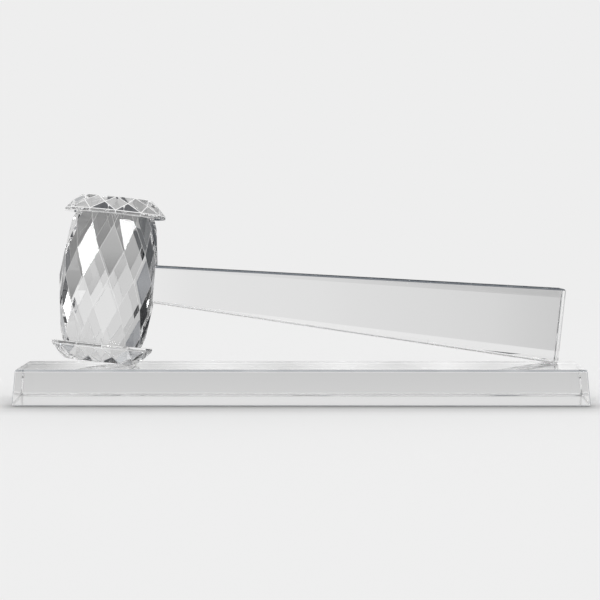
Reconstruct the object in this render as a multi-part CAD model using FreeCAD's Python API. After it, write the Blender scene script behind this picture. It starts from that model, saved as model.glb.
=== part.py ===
import FreeCAD, Part
import math
import os

from FreeCAD import Placement, Rotation, Vector

# A clear crystal gavel lying on its long crystal base.
# Millimetres and degrees. The origin is the middle of the base's underside, +X runs
# along the base towards the handle's butt, and +Z is up. The front of the base is at -Y.

# Base slab: sides and ends lean in towards the top
base_length = 304.8
base_depth = 63.5
base_height = 19.05
base_lean_in = 1.7
base_long_arris = 1.2
base_short_arris = 0.5

# Head: a twelve-sided barrel cut in rows of kites, with a cut disc on each end
facets_round = 12
barrel_length = 69.3
barrel_radius = 26.5
barrel_row_pitch = 14.6
barrel_rows_each_way = 3

disc_girdle_radius = 27.1
disc_table_radius = 19.4
disc_girdle_thickness = 1.8
disc_crown_height = 7.6
disc_kite_waist_share = 0.55

# Handle: a bar that widens from the head to its butt, standing in a socket in the barrel
handle_reach = 247.0
handle_root_height = 19.6
handle_root_thickness = 16.0
handle_butt_height = 40.8
handle_butt_thickness = 20.0
handle_arris = 0.8

# Shallow bevels on the handle's rear face, each widest at the butt
rear_bevel_width = 4.7
rear_bevel_depth = 1.3
rear_end_bevel_depth = 0.5
rear_upper_bevel_start = 93.0
rear_lower_bevel_start = 24.0
socket_floor = 20.0
socket_clearance = 0.15

# Cured adhesive between the crystal pieces
bond_thickness = 0.15
bond_face_gap = 0.02
bond_edge_margin = 0.8

# How the gavel lies on the base: the head in from the left end, the butt a little to the rear.
# The head is bonded a few degrees off square, so its top leans to the rear.
head_inset = 48.6
gavel_middle_y = 10.6
gavel_turn = 4.5
head_lean_back = 3.0
rest_gap = 0.03

# One overrun serves every cut
cut_overrun = 2.0

step = 360.0 / facets_round
half_step = step / 2
barrel_half = barrel_length / 2
disc_thickness = disc_girdle_thickness + disc_crown_height
disc_seat = barrel_half + bond_thickness
head_x = head_inset - base_length / 2
handle_start = socket_floor + bond_thickness


def ring(radius, height, turned_half_step):
    """Corners of one row of a cut stone, the first on +X or half a step round from it."""
    first = half_step if turned_half_step else 0.0
    angles = [math.radians(first + step * k) for k in range(facets_round)]
    return [Vector(radius * math.cos(a), radius * math.sin(a), height) for a in angles]


def solid_from_faces(loops):
    """A convex solid from flat faces, each given as its corners in order round it."""
    corners = [corner for loop in loops for corner in loop]
    middle = sum(corners, Vector()) / len(corners)
    faces = []
    for loop in loops:
        outward = (loop[1] - loop[0]).cross(loop[2] - loop[1])
        if outward.dot(loop[0] - middle) < 0:
            loop = loop[::-1]
        faces.append(Part.Face(Part.makePolygon(loop + [loop[0]])))
    return Part.Solid(Part.Shell(faces))


def ring_side(row, upper):
    """The straight band of four-cornered faces between two rows with corners in line."""
    return [
        [row[k - 1], row[k], upper[k], upper[k - 1]]
        for k in range(facets_round)
    ]


def barrel_row_radius(row):
    """Radius of a row of corners. This rule keeps each kite of the barrel flat."""
    return barrel_radius * math.cos(math.radians(half_step * row))


def barrel_blank():
    """The barrel's kite-cut stone, longer than the finished one."""
    last = barrel_rows_each_way
    rows = {
        row: ring(barrel_row_radius(row), barrel_row_pitch * row, row % 2 == 1)
        for row in range(-last, last + 1)
    }
    loops = [rows[-last], rows[last]]
    for row in range(1 - last, last):
        # A kite has its side corners on this row and its tips on the rows next to it
        shift = 1 if row % 2 else 0
        for k in range(facets_round):
            left = rows[row][k - 1]
            right = rows[row][k]
            tip = (k + shift - 1) % facets_round
            loops.append([left, rows[row - 1][tip], right, rows[row + 1][tip]])
    for end in (-last, last):
        inner = end - 1 if end > 0 else end + 1
        shift = 1 if end % 2 else 0
        for k in range(facets_round):
            tip = (k + shift - 1) % facets_round
            loops.append([rows[end][k - 1], rows[end][k], rows[inner][tip]])
    return solid_from_faces(loops)


def handle_section(x):
    """Half the handle's height and half its thickness at a place along it."""
    share = (x - handle_start) / (handle_reach - handle_start)
    height = handle_root_height + share * (handle_butt_height - handle_root_height)
    thickness = handle_root_thickness + share * (handle_butt_thickness - handle_root_thickness)
    return height / 2, thickness / 2


def tapered_bar(start, end, spare):
    """A four-sided bar along +X that follows the handle's taper, grown by spare all round."""
    corners = []
    for x in (start, end):
        half_height, half_thickness = handle_section(x)
        z = half_height + spare
        y = half_thickness + spare
        corners.append([Vector(x, -y, -z), Vector(x, y, -z), Vector(x, y, z), Vector(x, -y, z)])
    near, far = corners
    sides = [[near[k - 1], near[k], far[k], far[k - 1]] for k in range(len(near))]
    return solid_from_faces([near, far] + sides)


def leaned_back(shape):
    """A copy of a head piece turned about the handle's axis, its top to the rear."""
    moved = shape.copy()
    moved.rotate(Vector(0, 0, 0), Vector(1, 0, 0), -head_lean_back)
    return moved


def make_barrel():
    """The barrel cut to length, with the square socket for the handle's end."""
    width = barrel_radius + cut_overrun
    slab = Part.makeBox(2 * width, 2 * width, barrel_length, Vector(-width, -width, -barrel_half))
    socket = tapered_bar(socket_floor, width, socket_clearance)
    return leaned_back(barrel_blank().common(slab)).cut(socket).Solids[0]


def make_disc():
    """An end disc with its flat back at the origin and its small face upwards."""
    crown_top = disc_thickness
    waist_height = disc_girdle_thickness + disc_kite_waist_share * disc_crown_height
    narrowing = disc_girdle_radius - disc_table_radius
    kite_middle = disc_girdle_radius - disc_kite_waist_share * narrowing
    waist_radius = kite_middle / math.cos(math.radians(half_step))
    back = ring(disc_girdle_radius, 0.0, False)
    girdle = ring(disc_girdle_radius, disc_girdle_thickness, False)
    waist = ring(waist_radius, waist_height, True)
    table = ring(disc_table_radius, crown_top, False)
    loops = [back, table] + ring_side(back, girdle)
    for k in range(facets_round):
        loops.append([girdle[k], waist[k], table[k], waist[k - 1]])
        loops.append([girdle[k - 1], girdle[k], waist[k - 1]])
        loops.append([table[k - 1], table[k], waist[k - 1]])
    return solid_from_faces(loops)


def long_edges(shape, direction):
    """Straight edges that run mostly along one direction."""
    found = []
    for edge in shape.Edges:
        run = edge.Vertexes[1].Point - edge.Vertexes[0].Point
        if abs(run.normalize().dot(direction)) > math.cos(math.radians(45)):
            found.append(edge)
    return found


def edges_at(shape, axis, value):
    """Edges whose middle lies on the plane where the given coordinate has the given value."""
    tolerance = bond_face_gap
    return [e for e in shape.Edges if abs(getattr(e.CenterOfMass, axis) - value) < tolerance]


def make_disc_bond():
    """The round film that holds a disc to the barrel, lying on the plane z = 0."""
    at_end = barrel_row_radius(barrel_half / barrel_row_pitch)
    radius = at_end * math.cos(math.radians(half_step)) - bond_edge_margin
    return Part.makeCylinder(radius, bond_thickness - 2 * bond_face_gap, Vector(0, 0, bond_face_gap))


def make_handle_bond():
    """The film between the socket's floor and the handle's end."""
    width = handle_root_thickness - 2 * bond_edge_margin
    height = handle_root_height - 2 * bond_edge_margin
    corner = Vector(socket_floor + bond_face_gap, -width / 2, -height / 2)
    return Part.makeBox(bond_thickness - 2 * bond_face_gap, width, height, corner)


def shave(shape, point, outward):
    """Grinds away what stands beyond a plane."""
    block = Part.makeBox(base_length, base_length, base_length)
    block.translate(Vector(-base_length / 2, -base_length / 2, 0))
    block.Placement = Placement(point, Rotation(Vector(0, 0, 1), outward)).multiply(block.Placement)
    return shape.cut(block)


def shave_through(shape, corners, outward):
    """Grinds away what stands beyond the plane through three points."""
    first, second, third = corners
    across = (second - first).cross(third - first)
    across.normalize()
    if across.dot(outward) < 0:
        across = across * -1
    return shave(shape, first, across)


def make_handle():
    """The handle: arrises on its edges, then the shallow bevels of its rear face."""
    bar = tapered_bar(handle_start, handle_reach, 0.0)
    edges = long_edges(bar, Vector(1, 0, 0)) + edges_at(bar, "x", handle_reach)
    bar = bar.makeChamfer(handle_arris, edges).Solids[0]
    top, rear = handle_section(handle_reach)
    inner, side = top - rear_bevel_width, rear - rear_bevel_depth
    for sign, start in ((1, rear_upper_bevel_start), (-1, rear_lower_bevel_start)):
        start_top, start_rear = handle_section(start)
        corners = [
            Vector(start, start_rear, sign * start_top),
            Vector(handle_reach, rear, sign * inner),
            Vector(handle_reach, side, sign * top),
        ]
        bar = shave_through(bar, corners, Vector(0, 1, sign))
    bevel_start = handle_reach - rear_bevel_width
    start_rear = handle_section(bevel_start)[1]
    corners = [
        Vector(bevel_start, start_rear, 0),
        Vector(bevel_start, start_rear, top),
        Vector(handle_reach, rear - rear_end_bevel_depth, 0),
    ]
    return shave_through(bar, corners, Vector(1, 1, 0)).Solids[0]


def arris_cut(shape, corner, first, second, size):
    """Takes a narrow equal arris off the edge through corner, where two faces meet."""
    between = first + second
    between.normalize()
    depth = size * math.cos(math.radians(45))
    return shave(shape, corner - between * depth, between)


def make_base():
    """The slab with leaning sides, small arrises and a wider arris along its top."""
    x, y = base_length / 2, base_depth / 2
    top_x, top_y = x - base_lean_in, y - base_lean_in
    floor = [Vector(-x, -y, 0), Vector(x, -y, 0), Vector(x, y, 0), Vector(-x, y, 0)]
    top = [
        Vector(-top_x, -top_y, base_height),
        Vector(top_x, -top_y, base_height),
        Vector(top_x, top_y, base_height),
        Vector(-top_x, top_y, base_height),
    ]
    sides = [[floor[k - 1], floor[k], top[k], top[k - 1]] for k in range(len(floor))]
    slab = solid_from_faces([floor, top] + sides)
    lean = math.atan2(base_lean_in, base_height)
    up, down = Vector(0, 0, 1), Vector(0, 0, -1)
    for sign in (-1, 1):
        end_face = Vector(sign * math.cos(lean), 0, math.sin(lean))
        side_face = Vector(0, sign * math.cos(lean), math.sin(lean))
        slab = arris_cut(slab, Vector(sign * top_x, 0, base_height), end_face, up, base_short_arris)
        slab = arris_cut(slab, Vector(0, sign * top_y, base_height), side_face, up, base_long_arris)
        slab = arris_cut(slab, Vector(sign * x, 0, 0), end_face, down, base_short_arris)
        slab = arris_cut(slab, Vector(0, sign * y, 0), side_face, down, base_short_arris)
        for other in (-1, 1):
            other_face = Vector(0, other * math.cos(lean), math.sin(lean))
            foot = Vector(sign * x, other * y, 0)
            slab = arris_cut(slab, foot, end_face, other_face, base_short_arris)
    return slab.Solids[0]


def gavel_placement():
    """Lays the gavel down: it rests on one corner of the lower disc and the butt's lower edge."""
    lean = Rotation(Vector(1, 0, 0), -head_lean_back)
    corners = [lean.multVec(c) for c in ring(disc_table_radius, -(disc_seat + disc_thickness), False)]
    butt_edge_x = handle_reach - handle_arris
    butt_edge_z = -handle_section(butt_edge_x)[0]
    tilt, corner = max(
        ((math.atan2(butt_edge_z - c.z, butt_edge_x - c.x), c) for c in corners),
        key=lambda found: found[0],
    )
    drop = corner.x * math.sin(tilt) - corner.z * math.cos(tilt)
    turn = math.radians(gavel_turn)
    middle = math.cos(tilt) * handle_reach / 2
    place = Vector(head_x, gavel_middle_y - middle * math.sin(turn), base_height + rest_gap + drop)
    tilted = Rotation(Vector(0, 1, 0), math.degrees(tilt))
    turned = Rotation(Vector(0, 0, 1), gavel_turn)
    return Placement(place, turned.multiply(tilted))


def lifted(shape, height):
    """A copy of a shape moved up the head's axis."""
    moved = shape.copy()
    moved.translate(Vector(0, 0, height))
    return moved


def turned_over(shape):
    """A copy of a shape turned end for end about the handle's axis."""
    moved = shape.copy()
    moved.rotate(Vector(0, 0, 0), Vector(1, 0, 0), 180)
    return moved


def gavel_pieces():
    """The gavel's pieces about the middle of the barrel, its handle along +X."""
    top_disc = leaned_back(lifted(make_disc(), disc_seat))
    top_bond = leaned_back(lifted(make_disc_bond(), barrel_half))
    return {
        "head_barrel": make_barrel(),
        "end_disc_upper": top_disc,
        "end_disc_lower": turned_over(top_disc),
        "handle": make_handle(),
        "bond_disc_upper": top_bond,
        "bond_disc_lower": turned_over(top_bond),
        "bond_handle": make_handle_bond(),
    }


def main():
    os.makedirs("parts", exist_ok=True)
    pieces = {"base_slab": make_base()}
    lie = gavel_placement()
    for name, shape in gavel_pieces().items():
        shape.Placement = lie.multiply(shape.Placement)
        pieces[name] = shape
    for name, shape in pieces.items():
        box = shape.BoundBox
        print(name, shape.isValid(), shape.ShapeType, len(shape.Faces), round(shape.Volume, 1),
              [round(v, 2) for v in (box.XMin, box.YMin, box.ZMin, box.XMax, box.YMax, box.ZMax)])
        shape.exportStep(os.path.join("parts", name + ".step"))


main()
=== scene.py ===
import math

import bmesh
import bpy
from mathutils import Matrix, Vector


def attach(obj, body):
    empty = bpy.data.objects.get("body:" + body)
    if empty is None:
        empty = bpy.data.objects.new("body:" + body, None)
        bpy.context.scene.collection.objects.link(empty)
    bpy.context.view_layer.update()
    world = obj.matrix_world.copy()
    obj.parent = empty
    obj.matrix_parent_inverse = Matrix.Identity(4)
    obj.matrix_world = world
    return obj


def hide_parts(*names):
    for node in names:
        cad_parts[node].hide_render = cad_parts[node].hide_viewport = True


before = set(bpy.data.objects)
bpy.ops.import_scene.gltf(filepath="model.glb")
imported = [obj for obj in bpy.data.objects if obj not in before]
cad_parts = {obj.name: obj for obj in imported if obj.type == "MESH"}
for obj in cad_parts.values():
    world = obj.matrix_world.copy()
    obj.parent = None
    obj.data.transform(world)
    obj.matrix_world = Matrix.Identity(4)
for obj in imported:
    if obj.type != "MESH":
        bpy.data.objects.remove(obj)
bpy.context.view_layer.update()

scene = bpy.context.scene
scene.view_settings.view_transform = "Standard"

# Clear crystal needs many bounces, because a ray meets facet after facet before it leaves
scene.cycles.max_bounces = 40
scene.cycles.transmission_bounces = 40
scene.cycles.glossy_bounces = 16
scene.cycles.transparent_max_bounces = 16

# Camera
# A long lens 1.2 m in front of the base and a little above the gavel's head, looking slightly down.
# Its place is worked out from where the base's edges meet in the photograph.
camera_place = (0.0042, -1.216, 0.1156)
looks_down = math.radians(2.888)
turned_left = math.radians(0.23)
lens = bpy.data.cameras.new("long_lens")
lens.sensor_width = 36.0
lens.lens = 135.6
camera = bpy.data.objects.new("camera", lens)
camera.location = camera_place
camera.rotation_euler = (math.pi / 2 - looks_down, 0.0, turned_left)
scene.collection.objects.link(camera)
scene.camera = camera

# Base slab
# One sawn bar of optical crystal whose sides lean in to the top, ground and polished on every face.
# Its arrises are taken off by hand on a fine wheel, so each one is a thin bright line.
crystal_ior = 1.517
weld_distance = 0.000002
flat_to_within = math.radians(0.2)
grain_size = 0.00025
bevel_drift_per_metre = 60.0


def from_hex(code):
    """A colour written as sRGB hex, as the linear colour the shaders use."""
    channels = [int(code[i:i + 2], 16) / 255 for i in (1, 3, 5)]
    linear = [c / 12.92 if c <= 0.04045 else ((c + 0.055) / 1.055) ** 2.4 for c in channels]
    return (*linear, 1.0)


def add_node(tree, kind, settings=None, sockets=None, links=None):
    """Adds one node, sets its options and sockets, and links its inputs."""
    node = tree.nodes.new(kind)
    for name, value in (settings or {}).items():
        setattr(node, name, value)
    for name, value in (sockets or {}).items():
        node.inputs[name].default_value = value
    for name, source in (links or {}).items():
        tree.links.new(source, node.inputs[name])
    return node


def new_material(name):
    """An empty material with its node tree and its shader."""
    material = bpy.data.materials.new(name)
    material.use_nodes = True
    tree = material.node_tree
    return material, tree, tree.nodes["Principled BSDF"]


def optical_crystal(name, wave_size, wave_height):
    """Lead-free optical crystal, ground flat and polished with cerium oxide.
    The eye sees a water-clear stone. Felt polishing leaves waves far too shallow to feel,
    which only show as a slight swim in what the faces mirror and bend."""
    material, tree, shader = new_material(name)
    shader.inputs["Base Color"].default_value = from_hex("#FEFEFE")
    shader.inputs["Transmission Weight"].default_value = 1.0
    shader.inputs["IOR"].default_value = crystal_ior
    shader.inputs["Roughness"].default_value = 0.0
    place = add_node(tree, "ShaderNodeTexCoord")
    waves = add_node(tree, "ShaderNodeTexNoise",
                     sockets={"Scale": 1.0 / wave_size, "Detail": 1.0, "Roughness": 0.4},
                     links={"Vector": place.outputs["Object"]})
    swim = add_node(tree, "ShaderNodeBump",
                    sockets={"Strength": 1.0, "Distance": wave_height},
                    links={"Height": waves.outputs["Fac"]})
    tree.links.new(swim.outputs["Normal"], shader.inputs["Normal"])
    return material


def ground_arris(name):
    """The same crystal where a fine wheel has taken an edge off and it was not polished again.
    It gives the eye a thin white line, since its fine grain scatters the light."""
    material, tree, shader = new_material(name)
    shader.inputs["Base Color"].default_value = from_hex("#FFFFFF")
    shader.inputs["Transmission Weight"].default_value = 0.05
    shader.inputs["IOR"].default_value = crystal_ior
    place = add_node(tree, "ShaderNodeTexCoord")
    grain = add_node(tree, "ShaderNodeTexNoise", sockets={"Scale": 1.0 / grain_size, "Detail": 2.0},
                     links={"Vector": place.outputs["Object"]})
    rough = add_node(tree, "ShaderNodeMapRange", sockets={"To Min": 0.25, "To Max": 0.6},
                     links={"Value": grain.outputs["Fac"]})
    tree.links.new(rough.outputs["Result"], shader.inputs["Roughness"])
    return material


def polished_bevel_painted_shade(name, shade, light):
    """The same crystal on the long bevels, polished. A bevel bends the view far down or up to the dark of the
    room, and its colour also holds a painted blue-grey shade, lighter in places by a slow noise, so it gives
    the eye a blue-grey line."""
    material, tree, shader = new_material(name)
    shader.inputs["Transmission Weight"].default_value = 1.0
    shader.inputs["IOR"].default_value = crystal_ior
    shader.inputs["Roughness"].default_value = 0.02
    place = add_node(tree, "ShaderNodeTexCoord")
    drift = add_node(tree, "ShaderNodeTexNoise",
                     sockets={"Scale": bevel_drift_per_metre, "Detail": 1.0},
                     links={"Vector": place.outputs["Object"]})
    spread = add_node(tree, "ShaderNodeMapRange",
                      sockets={"From Min": 0.45, "From Max": 0.9, "To Min": 0.0, "To Max": 0.6},
                      links={"Value": drift.outputs["Fac"]})
    tone = add_node(tree, "ShaderNodeMix", {"data_type": "RGBA"},
                    {"A": from_hex(shade), "B": from_hex(light)}, {"Factor": spread.outputs["Result"]})
    tree.links.new(tone.outputs["Result"], shader.inputs["Base Color"])
    return material


def stone_from_node(name):
    """A welded copy of a solid's mesh, with its flat faces whole again."""
    stone = bmesh.new()
    stone.from_mesh(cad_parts[name].data)
    bmesh.ops.remove_doubles(stone, verts=stone.verts, dist=weld_distance)
    bmesh.ops.dissolve_limit(stone, angle_limit=flat_to_within, verts=stone.verts,
                             edges=stone.edges, use_dissolve_boundaries=False)
    return stone


# A finished stone's faces hold these numbers of its list of materials; the last is the bevels' crystal with
# its painted blue-grey shade
polished, joined, ground, painted_shade_bevel = range(4)


def mark_bevels(stone, narrowest, widest, least_length):
    """Gives the bevels at the front and the ends the bevel material with its painted blue-grey shade, told by
    width and length.
    """
    for face in stone.faces:
        length = max(e.calc_length() for e in face.edges)
        width = face.calc_area() / length
        at_back = face.normal.y >= 0.1
        if narrowest < width < widest and length > least_length and not at_back:
            face.material_index = painted_shade_bevel


def grind_arrises(stone, width, least_turn):
    """Takes a narrow flat off every outer edge that turns by more than the least."""
    edges = [e for e in stone.edges if len(e.link_faces) == 2 and e.is_convex
             and e.calc_face_angle() > math.radians(least_turn)
             and all(f.material_index != joined for f in e.link_faces)]
    made = bmesh.ops.bevel(stone, geom=edges, offset=width, offset_type="OFFSET", affect="EDGES",
                           segments=1, profile=0.5, material=-1, clamp_overlap=True)
    for face in made["faces"]:
        face.material_index = ground


def finished_piece(stone, name, body, node, materials):
    """Makes the worked stone a piece that stands for its solid."""
    mesh = bpy.data.meshes.new(name)
    stone.to_mesh(mesh)
    stone.free()
    for material in materials:
        mesh.materials.append(material)
    piece = bpy.data.objects.new(name, mesh)
    scene.collection.objects.link(piece)
    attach(piece, body)
    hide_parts(node)


base_crystal = optical_crystal("polished_optical_crystal_base", wave_size=0.030, wave_height=0.00001)
arris = ground_arris("fine_ground_crystal_arris")
# The base's front and end bevels take a painted grey shade in their colour
base_bevel_painted_shade = polished_bevel_painted_shade("polished_crystal_bevel_base_painted_shade", shade="#A6ACB2", light="#E4E8EC")
slab = stone_from_node("base_slab")
mark_bevels(slab, narrowest=0.0003, widest=0.0020, least_length=0.015)
grind_arrises(slab, width=0.00010, least_turn=3.0)
finished_piece(slab, "base_slab_crystal", "base", "base_slab",
               [base_crystal, base_crystal, arris, base_bevel_painted_shade])

# Head barrel
# One crystal turned to a barrel and cut in rows of kite facets on a lap, each polished flat.
# The handle's end and both discs are bonded to it with clear adhesive that wets both faces,
# so a joint hardly mirrors anything and is given the small step between crystal and adhesive.
plane_slack = 0.00001
socket_slack = 0.00002


def wetted_joint(name):
    """Where cured clear adhesive wets polished crystal. The IOR is the step from one to the other."""
    material, tree, shader = new_material(name)
    shader.inputs["Base Color"].default_value = from_hex("#FFFFFF")
    shader.inputs["Transmission Weight"].default_value = 1.0
    shader.inputs["IOR"].default_value = 1.0
    shader.inputs["Roughness"].default_value = 0.0
    return material


def inside(point, planes, slack):
    """True where a point is behind every plane."""
    return all((point - p).dot(n) < slack for p, n in planes)


def is_outer_face(face, stone):
    """True where the whole stone lies behind a face's plane, which no wall of a socket has."""
    plane = [(face.verts[0].co, face.normal)]
    return all(inside(corner.co, plane, socket_slack) for corner in stone.verts)


head_crystal = optical_crystal("polished_optical_crystal_head", wave_size=0.020, wave_height=0.000002)
joint_face = wetted_joint("clear_adhesive_wetted_face")
barrel = stone_from_node("head_barrel")
for face in barrel.faces:
    if not is_outer_face(face, barrel):
        face.material_index = joined
outer_faces = [f for f in barrel.faces if f.material_index == polished]
facet_planes = [(f.calc_center_median(), f.normal.copy()) for f in outer_faces]
end_faces = sorted(outer_faces, key=lambda f: abs(f.normal.z))[-2:]
axis = max(end_faces, key=lambda f: f.normal.z).normal.copy()
for face in end_faces:
    face.material_index = joined
side_planes = [(p, n) for p, n in facet_planes if abs(n.dot(axis)) < 0.9]
grind_arrises(barrel, width=0.00007, least_turn=2.0)
finished_piece(barrel, "head_barrel_crystal", "gavel", "head_barrel",
               [head_crystal, joint_face, arris])


# End discs
# Two low twelve-sided discs cut like the crown of a gem: kites between two rows of triangles.
# Each is bonded flat to one end of the barrel and stands proud of it all round.
def score(stone, faces, planes):
    """Scores faces where planes cross them, with no change of shape."""
    corners = [v for f in faces for v in f.verts]
    edges = [e for f in faces for e in f.edges]
    parts = list(dict.fromkeys(corners + edges)) + list(faces)
    for p, n in planes:
        done = bmesh.ops.bisect_plane(stone, geom=parts, dist=1e-7, plane_co=p, plane_no=n)
        parts = [g for g in dict.fromkeys(done["geom"]) if g.is_valid]


for node, toward in (("end_disc_upper", 1.0), ("end_disc_lower", -1.0)):
    disc = stone_from_node(node)
    back = min(disc.faces, key=lambda f: f.normal.dot(axis) * toward)
    near_end = [(p, n) for p, n in side_planes if n.dot(axis) * toward > 0.05]
    score(disc, [back], near_end)
    for face in disc.faces:
        meets_barrel = face.normal.dot(axis) * toward < -0.99
        if meets_barrel and inside(face.calc_center_median(), near_end, plane_slack):
            face.material_index = joined
    grind_arrises(disc, width=0.00022, least_turn=3.0)
    finished_piece(disc, node + "_crystal", "gavel", node, [head_crystal, joint_face, arris])

# Handle
# A four-sided crystal bar that widens to its butt, sawn, ground and polished flat, arrises eased.
# Its thin end stands in a socket in the barrel and is bonded there.
# The line past which the handle's front takes the upper bevel's painted shade
painted_shade_line_foot = Vector((0.050, 0.0, 0.0644))
painted_shade_line_normal = Vector((0.0569, 0.0, 1.0)).normalized()
butt_band_width = 0.0018


def faces_front(face):
    """True on the bar's front."""
    return face.normal.y < -0.9


def finish_beyond(stone, plane, finish):
    """Scores the front along a plane and gives what lies beyond it a finish of its own."""
    score(stone, [f for f in stone.faces if faces_front(f)], [plane])
    for face in stone.faces:
        beyond = not inside(face.calc_center_median(), [plane], 0.0)
        if face.material_index == polished and faces_front(face) and beyond:
            face.material_index = finish


handle_crystal = optical_crystal("polished_optical_crystal_handle", wave_size=0.040, wave_height=0.000008)
# The handle's upper bevel takes a painted dark blue-grey shade in its colour
handle_bevel_painted_shade = polished_bevel_painted_shade("polished_crystal_bevel_handle_painted_shade", shade="#3A4048", light="#565C64")
bar = stone_from_node("handle")
mark_bevels(bar, narrowest=0.0008, widest=0.0014, least_length=0.10)
for face in bar.faces:
    if face.material_index == painted_shade_bevel and face.normal.z < 0.0:
        face.material_index = ground
score(bar, bar.faces, side_planes)
for face in bar.faces:
    if inside(face.calc_center_median(), facet_planes, plane_slack):
        face.material_index = joined
# The upper bevel's painted blue-grey shade is laid past a sloping line onto the front, wider towards the thin
# end, and the butt's front edge has a wider ground band
finish_beyond(bar, (painted_shade_line_foot, painted_shade_line_normal), painted_shade_bevel)
butt = max((f for f in bar.faces if f.normal.x > 0.9), key=lambda f: f.calc_area())
finish_beyond(bar, (butt.calc_center_median() - butt.normal * butt_band_width, butt.normal.copy()), ground)
grind_arrises(bar, width=0.00012, least_turn=3.0)
finished_piece(bar, "handle_crystal_bar", "gavel", "handle",
               [handle_crystal, joint_face, arris, handle_bevel_painted_shade])

# Adhesive films
# Three thin films of clear ultraviolet-cured acrylic adhesive between the crystal pieces.
# Each is pressed thin between two pieces. Its solid is used as it is, with only a material added.
film_adhesive = wetted_joint("cured_clear_acrylic_adhesive")
for node in ("bond_disc_upper", "bond_disc_lower", "bond_handle"):
    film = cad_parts[node]
    film.data.materials.clear()
    film.data.materials.append(film_adhesive)

# The set
# A seamless pale sweep under soft even light. What the crystal bends and mirrors is set apart from it
# by cards, flags and softboxes that only its polished faces see.
backdrop_tone = "#EEEEEE"
paper_tone = "#EFEFEF"
floor_half_width = 40.0
floor_drop = 0.0003
# The painted shadow on the paper before and under the slab, as tones by Y, which is 0 at the slab's middle
# line
painted_foot_shadow = [(-0.080, paper_tone), (-0.070, "#ECECEC"), (-0.047, "#DEDEDE"), (-0.037, "#C8C8C8"),
              (-0.0315, "#BEBEBE"), (-0.027, "#C4C4C4"), (-0.018, "#DCDCDC"), (-0.008, "#ECECEC"),
              (0.020, paper_tone)]
# Where that painted shadow ends past the slab's ends, and where the paper turns into the backdrop
painted_shadow_ends = {"From Min": 0.149, "From Max": 0.164}
paper_fades = {"From Min": 0.35, "From Max": 1.1}


def seen_by_eye_or_stone(tree):
    """1 for a ray from the camera, off a mirror face or through crystal; 0 for scattered light."""
    path = add_node(tree, "ShaderNodeLightPath")
    first = add_node(tree, "ShaderNodeMath", {"operation": "MAXIMUM"})
    tree.links.new(path.outputs["Is Camera Ray"], first.inputs[0])
    tree.links.new(path.outputs["Is Glossy Ray"], first.inputs[1])
    second = add_node(tree, "ShaderNodeMath", {"operation": "MAXIMUM"})
    tree.links.new(first.outputs[0], second.inputs[0])
    tree.links.new(path.outputs["Is Transmission Ray"], second.inputs[1])
    return second.outputs[0]


def mix_shaders(tree, share, first, second):
    """Passes from one shader to another by a share from 0 to 1."""
    mix = add_node(tree, "ShaderNodeMixShader")
    tree.links.new(share, mix.inputs[0])
    tree.links.new(first, mix.inputs[1])
    tree.links.new(second, mix.inputs[2])
    return mix.outputs[0]


def tones_along(tree, value, stops):
    """A ramp of tones over a length, with its stops at real places."""
    first, last = stops[0][0], stops[-1][0]
    along = add_node(tree, "ShaderNodeMapRange", sockets={"From Min": first, "From Max": last},
                     links={"Value": value})
    tones = add_node(tree, "ShaderNodeValToRGB", links={"Fac": along.outputs["Result"]})
    for k, (where, tone) in enumerate(stops):
        at = (where - first) / (last - first)
        stop = tones.color_ramp.elements[k] if k < 2 else tones.color_ramp.elements.new(at)
        stop.position = at
        stop.color = from_hex(tone)
    return tones


def sweep_paper(name):
    """Matt white sweep paper. Along the slab's front foot, where the slab keeps the light off it, a painted
    shadow darkens its colour, and it turns by distance into the backdrop's own tone, so that no horizon
    shows."""
    material, tree, shader = new_material(name)
    shader.inputs["Roughness"].default_value = 0.9
    shader.inputs["Specular IOR Level"].default_value = 0.0
    place = add_node(tree, "ShaderNodeTexCoord")
    split = add_node(tree, "ShaderNodeSeparateXYZ", links={"Vector": place.outputs["Object"]})
    # The painted shadow along the slab's front foot, by Y
    shade = tones_along(tree, split.outputs["Y"], painted_foot_shadow)
    shade.color_ramp.interpolation = "EASE"
    past_end = add_node(tree, "ShaderNodeMath", {"operation": "ABSOLUTE"})
    tree.links.new(split.outputs["X"], past_end.inputs[0])
    leave = add_node(tree, "ShaderNodeMapRange", {"interpolation_type": "SMOOTHSTEP"}, painted_shadow_ends,
                     {"Value": past_end.outputs["Value"]})
    whole = add_node(tree, "ShaderNodeMix", {"data_type": "RGBA"}, {"B": from_hex(paper_tone)},
                     {"Factor": leave.outputs["Result"], "A": shade.outputs["Color"]})
    tree.links.new(whole.outputs["Result"], shader.inputs["Base Color"])
    distance = add_node(tree, "ShaderNodeVectorMath", {"operation": "LENGTH"},
                        links={"Vector": place.outputs["Object"]})
    fade = add_node(tree, "ShaderNodeMapRange", {"interpolation_type": "SMOOTHSTEP"}, paper_fades,
                    {"Value": distance.outputs["Value"]})
    far_off = add_node(tree, "ShaderNodeEmission",
                       sockets={"Color": from_hex(backdrop_tone), "Strength": 1.0})
    blend = mix_shaders(tree, fade.outputs["Result"], shader.outputs[0], far_off.outputs[0])
    tree.links.new(blend, tree.nodes["Material Output"].inputs["Surface"])
    return material


world = bpy.data.worlds.new("pale_studio")
scene.world = world
world.use_nodes = True
tree = world.node_tree
backdrop = tree.nodes["Background"]
backdrop.inputs["Color"].default_value = from_hex(backdrop_tone)
backdrop.inputs["Strength"].default_value = 1.0
ambient = add_node(tree, "ShaderNodeBackground", sockets={"Color": from_hex("#FFFFFF"), "Strength": 1.0})
studio = mix_shaders(tree, seen_by_eye_or_stone(tree), ambient.outputs[0], backdrop.outputs[0])
tree.links.new(studio, tree.nodes["World Output"].inputs["Surface"])

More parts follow.
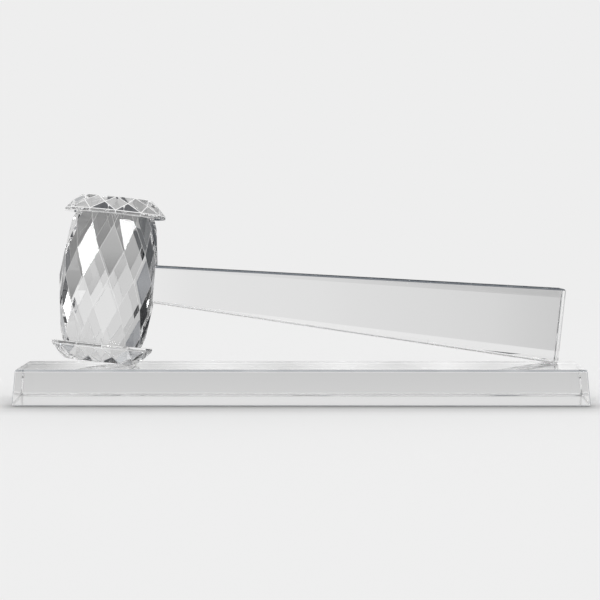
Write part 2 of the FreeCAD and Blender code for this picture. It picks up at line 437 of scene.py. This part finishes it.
# The floor lies a hair below the base, as two touching faces would fight in the glass
floor_mesh = bpy.data.meshes.new("floor")
floor_sheet = bmesh.new()
bmesh.ops.create_grid(floor_sheet, x_segments=1, y_segments=1, size=floor_half_width)
bmesh.ops.translate(floor_sheet, vec=(0.0, 0.0, -floor_drop), verts=floor_sheet.verts)
floor_sheet.to_mesh(floor_mesh)
floor_sheet.free()
floor = bpy.data.objects.new("floor", floor_mesh)
scene.collection.objects.link(floor)
floor_mesh.materials.append(sweep_paper("matt_white_sweep_painted_shadow"))


def upright(ends, low, high):
    """The corners of an upright card, from the two ends of its foot."""
    (x0, y0), (x1, y1) = ends
    return [(x0, y0, low), (x1, y1, low), (x1, y1, high), (x0, y0, high)]


def lying(left, right, front, back, height):
    """The corners of a card that lies flat over the floor."""
    return [(left, front, height), (right, front, height), (right, back, height), (left, back, height)]


def card(name, corners, tones, axis="X", strength=1.0, shown="through"):
    """A flat studio card that only polished crystal sees: through it, mirrored in it, or both.
    It has one tone, or tones that run along an axis from stop to stop."""
    mesh = bpy.data.meshes.new(name)
    sheet = bmesh.new()
    sheet.faces.new([sheet.verts.new(corner) for corner in corners])
    sheet.to_mesh(mesh)
    sheet.free()
    made = bpy.data.objects.new(name, mesh)
    scene.collection.objects.link(made)
    made.visible_camera = False
    made.visible_diffuse = False
    made.visible_shadow = False
    made.visible_transmission = shown != "mirrored"
    made.visible_glossy = shown != "through"
    material, tree, shader = new_material(name)
    glow = add_node(tree, "ShaderNodeEmission", sockets={"Strength": strength})
    if isinstance(tones, str):
        glow.inputs["Color"].default_value = from_hex(tones)
    else:
        place = add_node(tree, "ShaderNodeTexCoord")
        split = add_node(tree, "ShaderNodeSeparateXYZ", links={"Vector": place.outputs["Object"]})
        ramp = tones_along(tree, split.outputs[axis], tones)
        tree.links.new(ramp.outputs["Color"], glow.inputs["Color"])
    tree.links.new(glow.outputs[0], tree.nodes["Material Output"].inputs["Surface"])
    mesh.materials.append(material)


def facing_card(name, centre, target, width, height, tone, strength=1.0):
    """A card of one tone turned to face a point, shown through the crystal and mirrored."""
    turn = (Vector(target) - Vector(centre)).to_track_quat("Z", "Y").to_matrix()
    across, up = width / 2, height / 2
    flat = [(-across, -up, 0.0), (across, -up, 0.0), (across, up, 0.0), (-across, up, 0.0)]
    corners = [Vector(centre) + turn @ Vector(corner) for corner in flat]
    card(name, corners, tone, strength=strength, shown="both")


# The grey wall far behind, which the faces that look level show, lighter low in the middle, and a
# small dark patch high in front of it
wall_line = ((-2.2, 3.0), (2.2, 3.0))
card("grey_wall_foot", upright(wall_line, -0.2, 0.36),
     [(-2.2, "#B4B4B4"), (-1.2, "#D2D2D2"), (-0.3, "#E0E0E0"), (0.9, "#DADADA"), (2.2, "#CCCCCC")])
card("grey_wall", upright(wall_line, 0.36, 3.5),
     [(-2.2, "#B4B4B4"), (-1.2, "#CECECE"), (-0.3, "#D6D6D6"), (0.9, "#D0D0D0"), (2.2, "#D4D4D4")])
card("wall_patch", upright(((-0.75, 2.95), (-0.30, 2.95)), 2.28, 2.75), "#3A3C40")

# The grey runners on the floor behind the gavel, which the base and the head's upper facets show
card("grey_runner", lying(-0.31, 0.6, 0.033, 3.0, 0.001),
     [(0.033, "#CCCCCC"), (0.15, "#C2C2C2"), (0.18, "#949494"), (0.20, "#8C8C8C"), (0.30, "#868686"),
      (0.39, "#828282"), (0.52, "#A8A8A8"), (0.98, "#C6C6C6"), (1.5, "#D0D0D0"), (3.0, "#D6D6D6")], "Y")
card("dark_runner_left",
     [(-1.0, 0.12, 0.001), (-0.31, 0.12, 0.001), (-0.31, 0.40, 0.001), (-1.0, 0.78, 0.001)],
     [(-1.0, "#404244"), (-0.5, "#484A4C"), (-0.31, "#5C5E60")])
card("grey_runner_left",
     [(-1.0, 0.78, 0.001), (-0.31, 0.40, 0.001), (-0.31, 3.0, 0.001), (-1.0, 3.0, 0.001)],
     [(0.40, "#A4A4A4"), (0.9, "#BCBCBC"), (3.0, "#D0D0D0")], "Y")
card("dark_runner_right", lying(0.13, 0.7, 0.10, 0.42, 0.002), [(0.13, "#5A5C60"), (0.7, "#4C4E52")])
card("dull_runner_near_left", lying(-0.31, -0.168, 0.05, 0.17, 0.0015),
     [(-0.31, "#8E8E8E"), (-0.168, "#A2A2A2")])

# Dark flags at both sides
card("right_front_flag", upright(((1.5, -0.5), (0.8, -1.35)), 0.0, 0.4),
     [(0.0, "#0C0E10"), (0.4, "#202226")], "Z", shown="both")
card("left_front_flag", upright(((-1.5, -0.6), (-0.8, -1.35)), 0.0, 0.26),
     [(0.0, "#0C0E10"), (0.26, "#202226")], "Z", shown="both")
card("left_flag_far", upright(((-0.73, 0.87), (-0.88, 0.56)), 0.0, 1.4),
     [(0.0, "#383A3E"), (0.06, "#6A6C70"), (0.10, "#8E9094"), (0.15, "#5C5E62"), (0.19, "#16181C"),
      (0.31, "#181A1E"), (0.35, "#8C8E92"), (0.80, "#8C8E92"), (0.97, "#D4D6D8"), (1.4, "#DCDEE0")],
     "Z", shown="both")
card("left_flag_near", upright(((-0.88, 0.56), (-1.45, -0.6)), 0.0, 1.4),
     [(0.0, "#34363A"), (0.07, "#46484C"), (0.12, "#2E3034"), (0.16, "#101216"), (0.5, "#16181C"),
      (1.4, "#44464A")], "Z", shown="both")
card("right_flag", upright(((0.56, 0.84), (1.4, -0.4)), 0.0, 1.2),
     [(0.0, "#303236"), (0.07, "#3C3E42"), (0.14, "#707276"), (0.3, "#A8AAAC"), (1.2, "#B4B6B8")],
     "Z", shown="both")

# The cards close behind the handle, in line with its back: its main face shows the middle one, lighter
# towards the head, its lower bevel the pale one below and its upper bevel the duller one above
head_end = (-0.082, 0.0185)
butt_end = (0.155, 0.034)


def behind_handle(low_at_head, high_at_head, low_at_butt, high_at_butt):
    """The corners of a card behind the handle, from its heights at the two ends."""
    return [(*head_end, low_at_head), (*butt_end, low_at_butt), (*butt_end, high_at_butt),
            (*head_end, high_at_head)]


card("handle_card", behind_handle(0.0528, 0.0706, 0.0229, 0.0533),
     [(-0.082, "#E8E8E8"), (-0.058, "#E2E2E2"), (-0.032, "#E1E1E1"), (0.01, "#DFDFDF"),
      (0.03, "#DCDCDC"), (0.075, "#D8D8D8"), (0.105, "#D4D4D4"), (0.125, "#CDCDCD"),
      (0.145, "#C8C8C8"), (0.155, "#C0C0C0")])
card("handle_low_card", behind_handle(0.0450, 0.0528, 0.0196, 0.0229),
     [(-0.082, "#EEEEEE"), (0.155, "#E4E4E4")])
card("handle_high_card", behind_handle(0.0706, 0.0795, 0.0533, 0.0640),
     [(-0.082, "#E2E2E2"), (0.01, "#D4D4D4"), (0.155, "#B8B8B8")])

# The dark strip that the handle's top face mirrors, the dark mat that the barrel's right edge mirrors,
# and the streaked strip that the base's top mirrors
card("dark_strip_behind",
     [(-0.14, 0.16, 0.066), (0.22, 0.16, 0.050), (0.22, 0.16, 0.110), (-0.14, 0.16, 0.115)],
     "#3A4048", shown="mirrored")
card("dark_mat_behind", lying(-0.04, 0.10, 0.08, 0.24, 0.0012), "#14161A", shown="mirrored")
card("streaked_strip", upright(((-0.9, 1.2), (0.9, 1.2)), 0.02, 0.20),
     [(-0.9, "#C0C0C0"), (-0.28, "#C4C4C4"), (-0.23, "#F4F4F4"), (-0.16, "#DEDEDE"), (-0.10, "#FAFAFA"),
      (-0.02, "#E2E2E2"), (0.04, "#FCFCFC"), (0.10, "#E6E6E6"), (0.15, "#FFFFFF"), (0.20, "#E8E8E8"),
      (0.26, "#FFFFFF"), (0.9, "#E0E0E0")], strength=1.1, shown="mirrored")

# The dark flags high at the left, behind and at the right, which the lower disc shows
lower_disc = (-0.1, 0.0, 0.03)
facing_card("high_left_flag", (-0.37, 0.51, 0.86), lower_disc, 0.20, 0.22, "#101214")
facing_card("high_rear_flag", (0.30, 0.53, 0.82), lower_disc, 0.22, 0.22, "#484A4E")
facing_card("high_right_flag", (0.65, -0.42, 0.56), lower_disc, 0.24, 0.24, "#080A0C")

# A dark strip and a barred one close behind, which the upper disc's two rows of triangles show
card("dark_strip_near", lying(-0.17, -0.06, 0.105, 0.130, 0.0018), [(-0.17, "#3C3E42"), (-0.06, "#4C4E52")])
card("barred_strip", lying(-0.22, -0.05, 0.17, 0.23, 0.0019),
     [(-0.22, "#E4E4E4"), (-0.206, "#E4E4E4"), (-0.204, "#4E5054"), (-0.178, "#525458"), (-0.176, "#E8E8E8"),
      (-0.136, "#F0F0F0"), (-0.134, "#56585C"), (-0.118, "#56585C"), (-0.116, "#F4F4F4"), (-0.083, "#F4F4F4"),
      (-0.081, "#4E5054"), (-0.064, "#4E5054"), (-0.062, "#ECECEC"), (-0.05, "#ECECEC")])

# Two white cards for the lower disc, two pale ones for the lines at the base's ends, and one for the
# handle's lower edge at the butt
card("white_card_left", upright(((-1.245, -0.20), (-1.417, -0.55)), 0.5, 1.2), "#F4F4F4")
card("white_card_low_left", upright(((-0.768, 0.775), (-0.812, 0.685)), 0.0, 0.055), "#F0F0F0")
card("pale_card_left", upright(((-1.1255, 0.04), (-1.224, -0.16)), 0.36, 0.46), "#F0F0F0")
card("pale_card_right", upright(((1.119, 0.0), (1.214, -0.14)), 0.36, 0.46), "#F0F0F0")
card("pale_card_low", lying(0.11, 0.168, 0.27, 0.31, 0.0023), [(0.11, "#DADADA"), (0.168, "#E4E4E4")])

# Three strong softboxes, each mirrored by one facet of the head
softbox_strength = 18.0
facing_card("left_softbox", (-1.05, -0.63, 0.50), (-0.105, -0.02, 0.085), 0.36, 0.36, "#FFFFFF",
            softbox_strength)
facing_card("right_softbox", (0.7068, -0.9158, 0.70), (-0.09, -0.02, 0.09), 0.084, 0.30, "#FFFFFF",
            softbox_strength)
card("low_left_softbox", [(-0.5747, 0.2084, 0.0224), (-0.5726, 0.2112, 0.0104), (-0.5715, 0.2146, 0.0224),
                          (-0.5736, 0.2118, 0.0344)],
     "#FFFFFF", strength=16.0, shown="mirrored")
